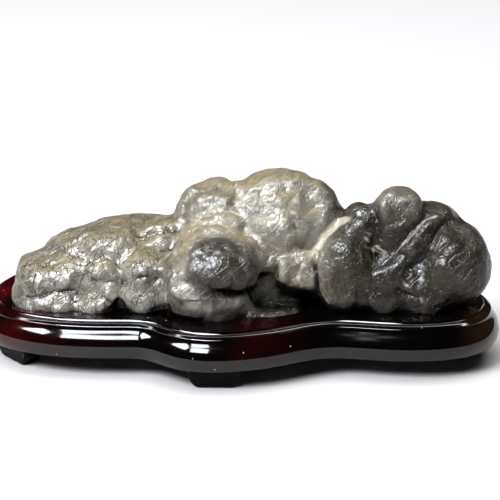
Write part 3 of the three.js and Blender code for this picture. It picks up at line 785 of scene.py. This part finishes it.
# Each run of the moulding is its number of steps and its corners, each the distance out from the rim line and
# the height above the underside. Only how much the height changes at each step counts, and not which way:
# past its bead the edge steps on upwards, so the ledge stands above the bead.
UPPER_EDGE = [
    (12, [WIDEST, (8.4, 8.8), (7.7, 10.9), (6.6, 13.0)]),
    (6, [(6.6, 13.0), (6.1, 13.9), (5.6, 14.7), (5.0, 15.5)]),
    (6, [(5.0, 15.5), (4.4, 16.3), (3.8, 17.1), (3.3, 18.0)]),
    (4, [(3.3, 18.0), (3.0, 18.6), (2.8, 19.3), (2.7, 19.9)]),
    (3, [(2.7, 19.9), (2.7, 20.1), (2.6, 20.2), (2.3, 20.4)]),
    (3, [(2.3, 20.4), (1.7, 20.8), (1.1, 21.3), (0.5, 21.7)]),
    (5, [(0.5, 21.7), (-0.2, 22.1), (-1.2, 22.1), (-1.8, 21.7)]),
    (4, [(-1.8, 21.7), (-2.3, 21.3), (-2.6, 20.9), (-2.8, INNER_CORNER)]),
]
LOWER_EDGE = [
    (8, [WIDEST, (8.6, 3.2), (8.0, 0.8), (7.1, -0.7)]),
    (3, [(7.1, -0.7), (6.9, -1.2), (6.5, -1.6), (5.9, -1.6)]),
    (1, [(5.9, -1.6), (4, -1.6), (2, -1.6), (0, -1.6)]),
]
# The seat: the play round the stone, its floor a hair under the stone's base, how far the stone is felt for
# to either side of the frame's seat, and how many points its outline has.
SEAT_PLAY = 0.5
SEAT_FLOOR = ROCK_BASE / MM - PLATE_UNDERSIDE - 0.4
SEAT_FEEL = 9
SEAT_POINTS = 360


def bezier(steps, corners):
    t = np.linspace(0, 1, steps + 1)[1:, None]
    a, b, c, d = np.array(corners, float)
    return a * (1 - t) ** 3 + 3 * b * t * (1 - t) ** 2 + 3 * c * t ** 2 * (1 - t) + d * t ** 3


def smooth_loop(corners, count):
    """A closed smooth curve through the eased corners, at even steps."""
    for _ in range(2):
        corners = (np.roll(corners, 1, 0) + 2 * corners + np.roll(corners, -1, 0)) / 4
    before, after, beyond = np.roll(corners, 1, 0), np.roll(corners, -1, 0), np.roll(corners, -2, 0)
    t = np.linspace(0, 1, 12, endpoint=False)[:, None, None]
    bend = 2 * before - 5 * corners + 4 * after - beyond
    twist = 3 * corners - before - 3 * after + beyond
    fine = 0.5 * (2 * corners + (after - before) * t + bend * t ** 2 + twist * t ** 3)
    fine = fine.transpose(1, 0, 2).reshape(-1, 2)
    closed = np.vstack([fine, fine[:1]])
    reached = run_lengths(closed)
    places = np.linspace(0, reached[-1], count, endpoint=False)
    return np.column_stack([np.interp(places, reached, closed[:, n]) for n in (0, 1)])


def plate_cut(height):
    """A copy of the frame's plate, and the corners and edges of its cut at a height above its underside."""
    cut = bmesh.new()
    cut.from_mesh(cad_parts["stand_plate"].data)
    bmesh.ops.remove_doubles(cut, verts=cut.verts, dist=WELD)
    crossed = bmesh.ops.bisect_plane(
        cut, geom=cut.verts[:] + cut.edges[:] + cut.faces[:],
        plane_co=(0, 0, (PLATE_UNDERSIDE + height) * MM), plane_no=(0, 0, 1))["geom_cut"]
    corners = [part for part in crossed if isinstance(part, bmesh.types.BMVert)]
    edges = [part for part in crossed if isinstance(part, bmesh.types.BMEdge)]
    return cut, corners, edges


def widest_outline():
    """The outline of the frame's plate where it is widest, in millimetres."""
    cut, corners, _ = plate_cut(WIDEST[1])
    corners = [vert.co / MM for vert in corners]
    corners.sort(key=lambda corner: atan2(corner.y, corner.x))
    cut.free()
    outline = [corners[0]]
    for corner in corners:
        if (corner - outline[-1]).length > OUTLINE_STEP:
            outline.append(corner)
    return smooth_loop(np.array([corner[:2] for corner in outline]), OUTLINE_POINTS)


def work_edge(shape, face, runs):
    """Inset a face ring by ring along the runs of the moulding, which leaves it in the middle."""
    here = np.array(WIDEST)
    for steps, corners in runs:
        for there in bezier(steps, corners):
            inward, up = (here[0] - there[0]) * MM, abs(there[1] - here[1]) * MM
            bmesh.ops.inset_region(shape, faces=[face], thickness=inward, depth=up,
                                    use_even_offset=True, use_boundary=True)
            here = there


def seat_outline():
    """The seat of the frame's plate, each point moved until it just clears the stone."""
    cut, _, edges = plate_cut((SEAT_FLOOR + INNER_CORNER) / 2)
    ties = {}
    for edge in edges:
        for vert in edge.verts:
            ties.setdefault(vert, []).append(edge.other_vert(vert))
    loops = []
    while ties:
        loop = [next(iter(ties))]
        while loop[-1] in ties:
            onward = [vert for vert in ties.pop(loop[-1]) if vert in ties]
            if onward:
                loop.append(onward[0])
        loops.append(np.array([vert.co[:2] for vert in loop]) / MM)
    cut.free()
    # The longest loop is the plate's own edge, and the next is the seat's.
    loops.sort(key=lambda loop: np.ptp(loop[:, 0]))
    outline = smooth_loop(loops[-2], SEAT_POINTS)
    around = np.roll(outline, -1, 0) - np.roll(outline, 1, 0)
    if (outline * np.column_stack([around[:, 1], -around[:, 0]])).sum() < 0:
        outline, around = outline[::-1], -around[::-1]
    out = np.column_stack([around[:, 1], -around[:, 0]]) / np.linalg.norm(around, axis=1)[:, None]
    stone_tree = BVHTree.FromObject(rock, bpy.context.evaluated_depsgraph_get())
    reached = []
    for point, way in zip(outline, out):
        furthest = -SEAT_FEEL
        for height in np.linspace(SEAT_FLOOR + 1, INNER_CORNER, 4):
            start = Vector((*(point + way * SEAT_FEEL), PLATE_UNDERSIDE + height))
            hit = stone_tree.ray_cast(start * MM, Vector((*-way, 0)), 2 * SEAT_FEEL * MM)[3]
            if hit:
                furthest = max(furthest, SEAT_FEEL - hit / MM)
        reached.append(furthest if furthest > -SEAT_FEEL else 0)
    reached = np.maximum.reduce([np.roll(reached, step) for step in (-1, 0, 1)])
    return smooth_loop(outline + out * (reached + SEAT_PLAY)[:, None], SEAT_POINTS)


plate_shape = bmesh.new()


def flat_ring(outline, level):
    """Corners of the plate along an outline, at one level."""
    return [plate_shape.verts.new((x * MM, y * MM, level)) for x, y in outline]


widest_level = (PLATE_UNDERSIDE + WIDEST[1]) * MM
for runs, order in ((LOWER_EDGE, -1), (UPPER_EDGE, 1)):
    middle_face = plate_shape.faces.new(flat_ring(widest_outline()[::order], widest_level))
    work_edge(plate_shape, middle_face, runs)
# The last face left is the ledge. It is opened, and the seat is sunk into it.
ledge_rim = middle_face.edges[:]
ledge_level = middle_face.verts[0].co.z
bmesh.ops.delete(plate_shape, geom=[middle_face], context="FACES_ONLY")
lip = flat_ring(seat_outline(), ledge_level)
lip_edges = [plate_shape.edges.new((a, b)) for a, b in zip(lip, lip[1:] + lip[:1])]
bmesh.ops.triangle_fill(plate_shape, use_beauty=True, edges=ledge_rim + lip_edges)
sunk = bmesh.ops.extrude_edge_only(plate_shape, edges=lip_edges)["geom"]
seat_verts = [part for part in sunk if isinstance(part, bmesh.types.BMVert)]
seat_edges = [part for part in sunk if isinstance(part, bmesh.types.BMEdge)
              and part.verts[0] in seat_verts and part.verts[1] in seat_verts]
for vert in seat_verts:
    vert.co.z = (PLATE_UNDERSIDE + SEAT_FLOOR) * MM
bmesh.ops.triangle_fill(plate_shape, use_beauty=True, edges=seat_edges)
bmesh.ops.remove_doubles(plate_shape, verts=plate_shape.verts, dist=0.001 * MM)
bmesh.ops.recalc_face_normals(plate_shape, faces=plate_shape.faces)
plate_mesh = bpy.data.meshes.new("stand_board")
plate_shape.to_mesh(plate_mesh)
plate_shape.free()
plate = bpy.data.objects.new("stand_board", plate_mesh)
bpy.context.scene.collection.objects.link(plate)
for polygon in plate.data.polygons:
    polygon.use_smooth = True
plate.data.set_sharp_from_angle(angle=radians(32))


def lacquered(name, reflection, redness):
    """Near-black lacquer with specks of dust, and a red glow painted towards the left end and the middle."""
    lacquer = Paint(name)
    place = lacquer.place()
    across = lacquer.node("ShaderNodeSeparateXYZ", {}, {"Vector": place})
    cloudy = lacquer.noise(place, 22, 3, 0.5, 0.4)
    at_left = lacquer.spread(across, -0.070, -0.160)
    at_middle = lacquer.spread(across, -0.050, -0.010) * lacquer.spread(across, 0.050, 0.020)
    # Painted light: the lacquer's own red is painted stronger at the left end and the middle, as the glow
    # where light falls through it.
    red_glow = redness * (0.60 * at_left + 0.09 * at_middle) * lacquer.spread(cloudy, 0.35, 0.70)
    reddened = lacquer.mix(red_glow, (0.0012, 0.0006, 0.0006, 1), (0.100, 0.003, 0.005, 1))
    brown_end = lacquer.mix(0.6 * lacquer.spread(across, 0.135, 0.170), reddened, (0.045, 0.021, 0.009, 1))
    dust = lacquer.spread(lacquer.cells(place, 90.0), 0.05, 0.03)
    dusted = lacquer.mix(dust, brown_end, (0.4, 0.4, 0.4, 1))
    lacquer.surface(lacquer.shader(Base_Color=dusted, Roughness=0.08 + 0.5 * dust, IOR=reflection))
    return lacquer.material


plate_lacquer = lacquered("dark_red_lacquer", 1.45, 1)
plate.data.materials.clear()
plate.data.materials.append(plate_lacquer)
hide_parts("stand_plate")
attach(plate, "root")

# ---- The stand's feet ----
# Five small half-round blocks of the same hardwood, glued under the plate near its edge to lift it clear of
# the table. Their shapes are the frame's own, and their lacquer is duller than the plate's.
foot_lacquer = lacquered("foot_lacquer", 1.15, 0)
for name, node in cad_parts.items():
    if name.startswith("foot_"):
        node.data.materials.clear()
        node.data.materials.append(foot_lacquer)
